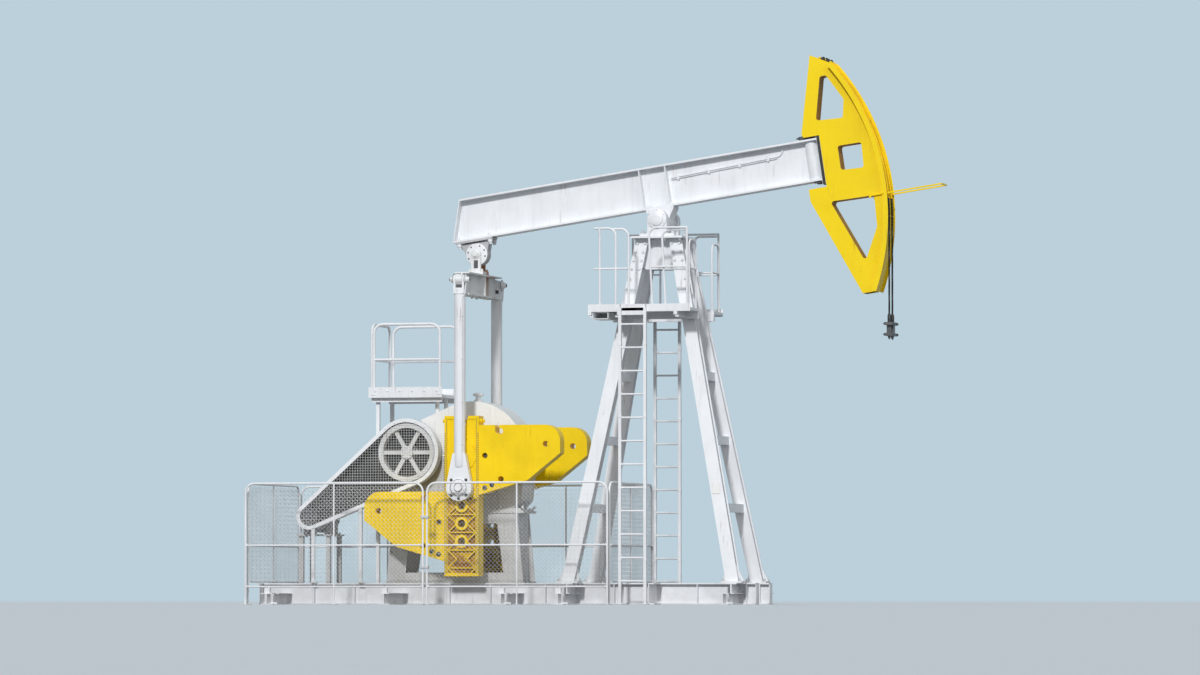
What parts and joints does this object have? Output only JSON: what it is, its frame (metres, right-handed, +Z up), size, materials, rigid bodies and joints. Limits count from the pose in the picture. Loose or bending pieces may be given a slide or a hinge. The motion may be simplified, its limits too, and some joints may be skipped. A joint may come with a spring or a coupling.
{
  "type": "walking-beam pumpjack",
  "caption": "Beam pumping unit: horsehead with rope bridle, walking beam on a tower, pitmans, twin weighted cranks, gearbox, motor, platforms and fence.",
  "frame": {"origin": "on the ground under the beam pivot, at the middle of the base frame's central cross beam", "axes": "+X to the well side along the beam, +Y across the machine, +Z up"},
  "size_m": [9.8406, 2.72, 7.6722],
  "materials": {
    "white_paint": "semi-gloss white paint, weathered",
    "grey_paint": "light grey paint, dusty",
    "fence_wire": "white painted pipe and galvanised wire",
    "yellow_paint": "gloss yellow paint",
    "dark_steel": "dark oiled steel",
    "wire_rope": "greased black wire rope",
    "belt_rubber": "matt black rubber"
  },
  "bodies": {
    "base": {"base_frame": "white_paint", "leg_front_near": "white_paint", "leg_front_far": "white_paint", "leg_rear_near": "white_paint", "leg_rear_far": "white_paint", "tower_ties": "white_paint", "tower_head": "white_paint", "pivot_bearings": "white_paint", "platform_deck": "white_paint", "platform_rails": "white_paint", "ladders": "white_paint", "gearbox_stand": "grey_paint", "gearbox_housing": "grey_paint", "gearbox_cover": "white_paint", "motor_stand": "grey_paint", "motor": "grey_paint", "belt_guard": "white_paint", "drive_belts": "belt_rubber", "rear_deck": "white_paint", "rear_rails": "white_paint", "fence_near": "fence_wire", "fence_far": "fence_wire", "fence_ends": "fence_wire"},
    "beam": {"walking_beam": "white_paint", "saddle": "white_paint", "head_side_near": "yellow_paint", "head_side_far": "yellow_paint", "head_lining": "yellow_paint", "head_face": "yellow_paint", "head_bar": "yellow_paint", "tail_bearing": "white_paint", "head_ropes": "wire_rope"},
    "equalizer": {"equalizer_beam": "white_paint", "equalizer_fork": "white_paint", "pitman_near": "white_paint", "pitman_far": "white_paint"},
    "crank": {"crankshaft": "dark_steel", "crank_near": "yellow_paint", "crank_far": "yellow_paint", "weights_near": "yellow_paint", "weights_far": "yellow_paint"},
    "bridle": {"bridle_ropes": "wire_rope", "carrier_bar": "dark_steel"},
    "sheave": {"sheave": "grey_paint"},
    "motor_pulley": {"motor_pulley": "dark_steel"}
  },
  "joints": [
    {"name": "beam_swing", "type": "hinge", "parent": "base", "child": "beam", "pos_m": [0, 0, 5.4], "axis": [0, 1, 0], "range_deg": [0, 18.8]},
    {"name": "equalizer_swing", "type": "hinge", "parent": "beam", "child": "equalizer", "pos_m": [-2.71388, 0, 4.95396], "axis": [0, 1, 0], "range_deg": [-19, 0]},
    {"name": "bridle_swing", "type": "hinge", "parent": "beam", "child": "bridle", "pos_m": [3.2643, 0, 5.4], "axis": [0, 1, 0], "range_deg": [-19, 0]},
    {"name": "crank_turn", "type": "hinge", "parent": "base", "child": "crank", "pos_m": [-2.71388, 0, 2.085], "axis": [0, 1, 0], "continuous": true},
    {"name": "sheave_turn", "type": "hinge", "parent": "base", "child": "sheave", "pos_m": [-3.61988, 0, 2.145], "axis": [0, 1, 0], "continuous": true},
    {"name": "pulley_turn", "type": "hinge", "parent": "base", "child": "motor_pulley", "pos_m": [-5.04988, 0, 1.245], "axis": [0, 1, 0], "continuous": true}
  ],
  "couplings": [
    {"joint": "equalizer_swing", "follows": "beam_swing", "ratio": -1},
    {"joint": "bridle_swing", "follows": "beam_swing", "ratio": -1},
    {"joint": "sheave_turn", "follows": "crank_turn", "ratio": 37.18},
    {"joint": "pulley_turn", "follows": "crank_turn", "ratio": 135.2}
  ]
}
